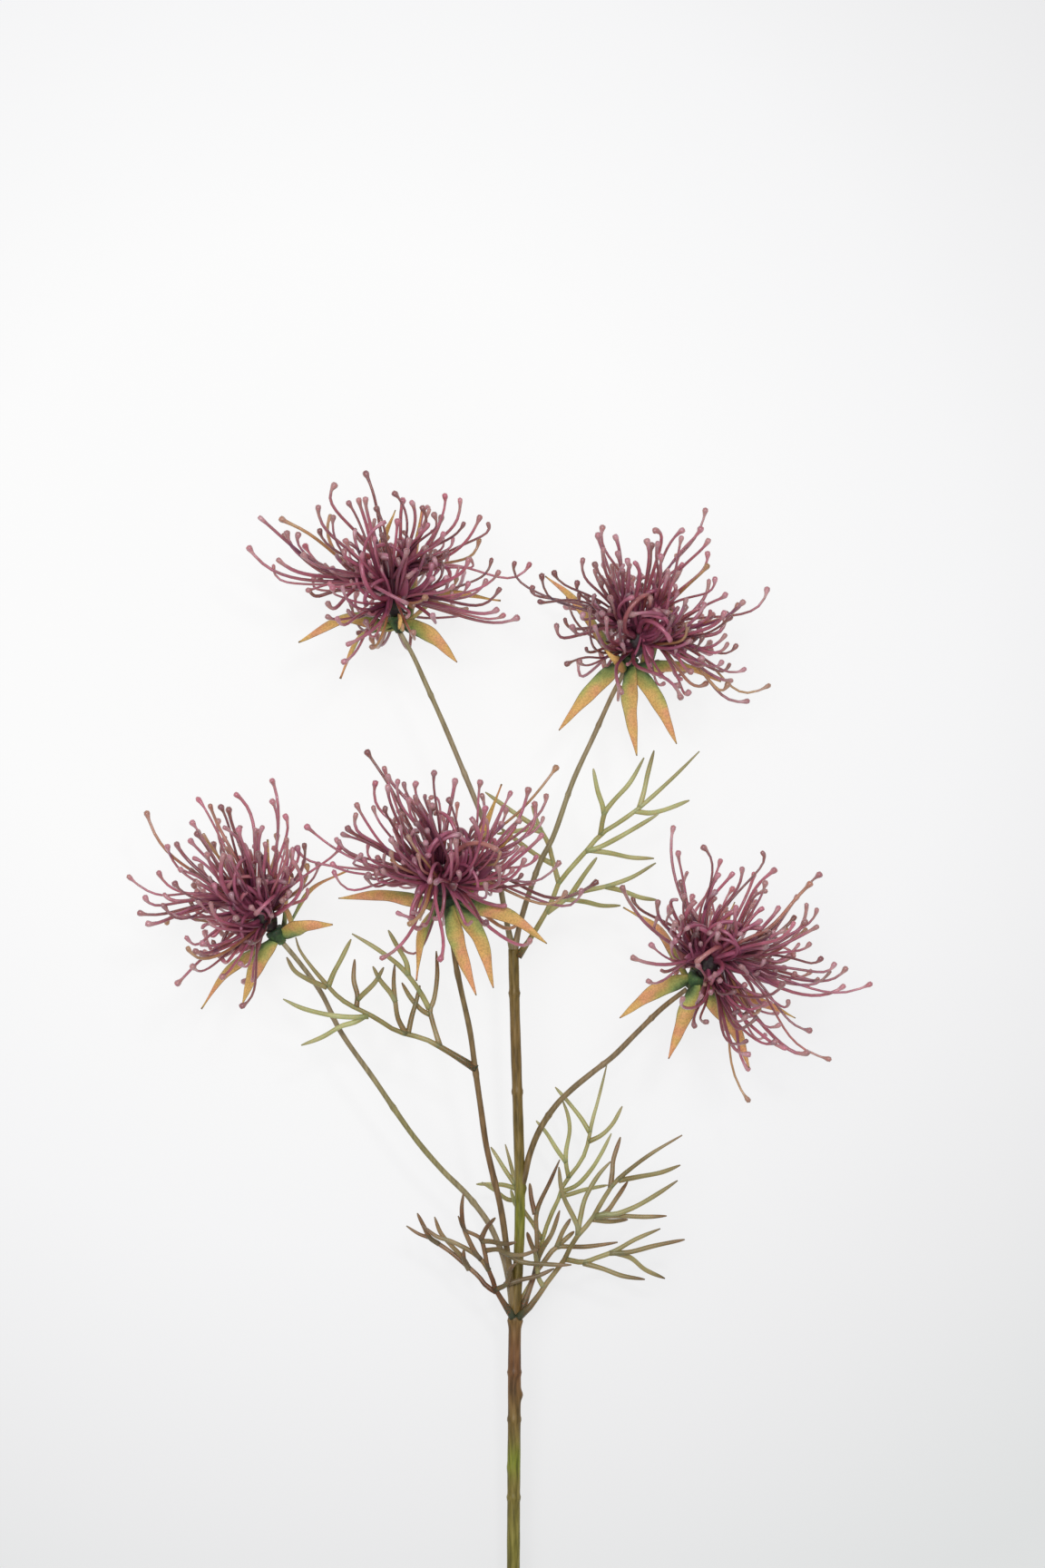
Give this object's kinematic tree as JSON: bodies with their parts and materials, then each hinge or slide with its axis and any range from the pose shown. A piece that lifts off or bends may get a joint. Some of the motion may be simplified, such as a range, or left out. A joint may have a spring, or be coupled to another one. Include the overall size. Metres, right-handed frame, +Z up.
{
  "type": "cut grevillea flower stem",
  "caption": "Cut grevillea lying on a table: a branching stem with spidery heads of knobbed styles, narrow bracts and finely divided leaves.",
  "frame": {"origin": "on the table under the middle of the spray's box", "axes": "+Z up from the table, +Y along the stem from its cut end to the flower heads, +X to the right seen from above"},
  "size_m": [0.2701, 0.5469, 0.0923],
  "materials": {
    "stem": "smooth olive brown bark, greener in patches, satin",
    "leaf": "olive green leaf lobes with browner tips, satin",
    "bract": "ochre to orange blade, green at its root, fine grained, matt",
    "style": "dusty plum thread with a paler knob, waxy satin"
  },
  "bodies": {
    "root": {"stem": "stem", "leaf_upper": "leaf", "leaf_middle": "leaf", "leaf_right": "leaf", "leaf_inner": "leaf", "leaf_back": "leaf", "leaf_left": "leaf", "bracts_1": "bract", "bracts_2": "bract", "bracts_3": "bract", "bracts_4": "bract", "bracts_5": "bract", "styles_1": "style", "styles_2": "style", "styles_3": "style", "styles_4": "style", "styles_5": "style"}
  },
  "joints": []
}
